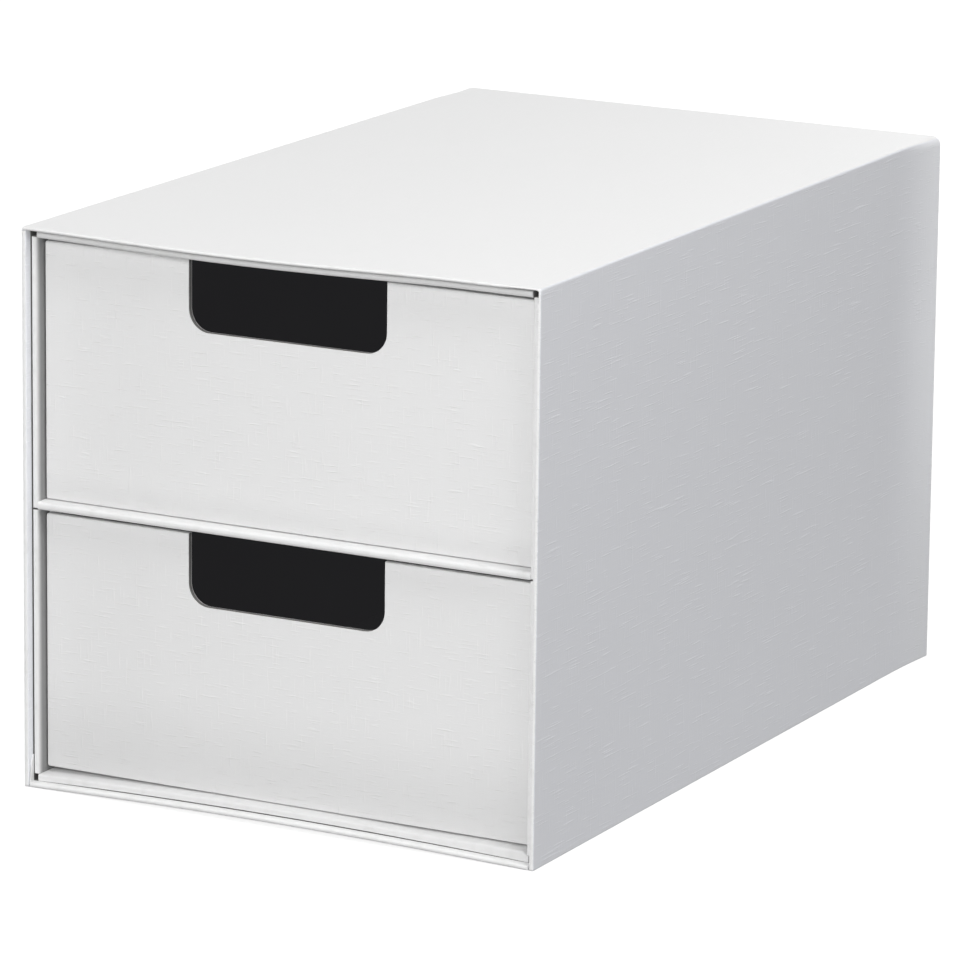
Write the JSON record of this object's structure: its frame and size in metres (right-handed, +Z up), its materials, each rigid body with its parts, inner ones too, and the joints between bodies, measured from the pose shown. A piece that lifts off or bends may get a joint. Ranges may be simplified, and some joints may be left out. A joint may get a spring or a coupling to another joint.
{
  "type": "mini chest of drawers",
  "caption": "Free-standing desk chest of paper-covered board, its open-topped drawers stacked in a folded case and pulled by grip notches cut in their fronts.",
  "frame": {"origin": "under the middle of the case, on the surface that it stands on", "axes": "+Z up, +Y from the drawer fronts towards the back, +X to the right as seen from the front"},
  "size_m": [0.23, 0.368, 0.2285],
  "materials": {
    "wrap_paper": "greyboard covered in white paper with a linen emboss, matt",
    "liner_paper": "greyboard covered in white linen-embossed paper, matt",
    "front_paper": "greyboard covered in white linen-embossed paper, bare grey core at the grip notch",
    "drawer_paper": "greyboard covered in white paper, matt",
    "black_lining": "matt black paper"
  },
  "bodies": {
    "case": {"outer_top": "wrap_paper", "outer_bottom": "wrap_paper", "outer_left": "wrap_paper", "outer_right": "wrap_paper", "fold_top_left": "wrap_paper", "fold_top_right": "wrap_paper", "fold_bottom_left": "wrap_paper", "fold_bottom_right": "wrap_paper", "liner_top": "liner_paper", "liner_bottom": "liner_paper", "liner_upper_left": "liner_paper", "liner_upper_right": "liner_paper", "liner_lower_left": "liner_paper", "liner_lower_right": "liner_paper", "shelf": "liner_paper", "back_panel": "wrap_paper", "back_flange_top": "liner_paper", "back_flange_bottom": "liner_paper", "back_flange_left": "liner_paper", "back_flange_right": "liner_paper"},
    "lower_drawer": {"lower_drawer_front": "front_paper", "lower_drawer_left_side": "drawer_paper", "lower_drawer_right_side": "drawer_paper", "lower_drawer_back": "drawer_paper", "lower_drawer_floor": "drawer_paper", "lower_drawer_lining": "black_lining"},
    "upper_drawer": {"upper_drawer_front": "front_paper", "upper_drawer_left_side": "drawer_paper", "upper_drawer_right_side": "drawer_paper", "upper_drawer_back": "drawer_paper", "upper_drawer_floor": "drawer_paper", "upper_drawer_lining": "black_lining"}
  },
  "joints": [
    {"name": "upper_drawer_slide", "type": "slide", "parent": "case", "child": "upper_drawer", "axis": [0, -1, 0], "range_m": [0, 0.29]},
    {"name": "lower_drawer_slide", "type": "slide", "parent": "case", "child": "lower_drawer", "axis": [0, -1, 0], "range_m": [0, 0.29]}
  ]
}
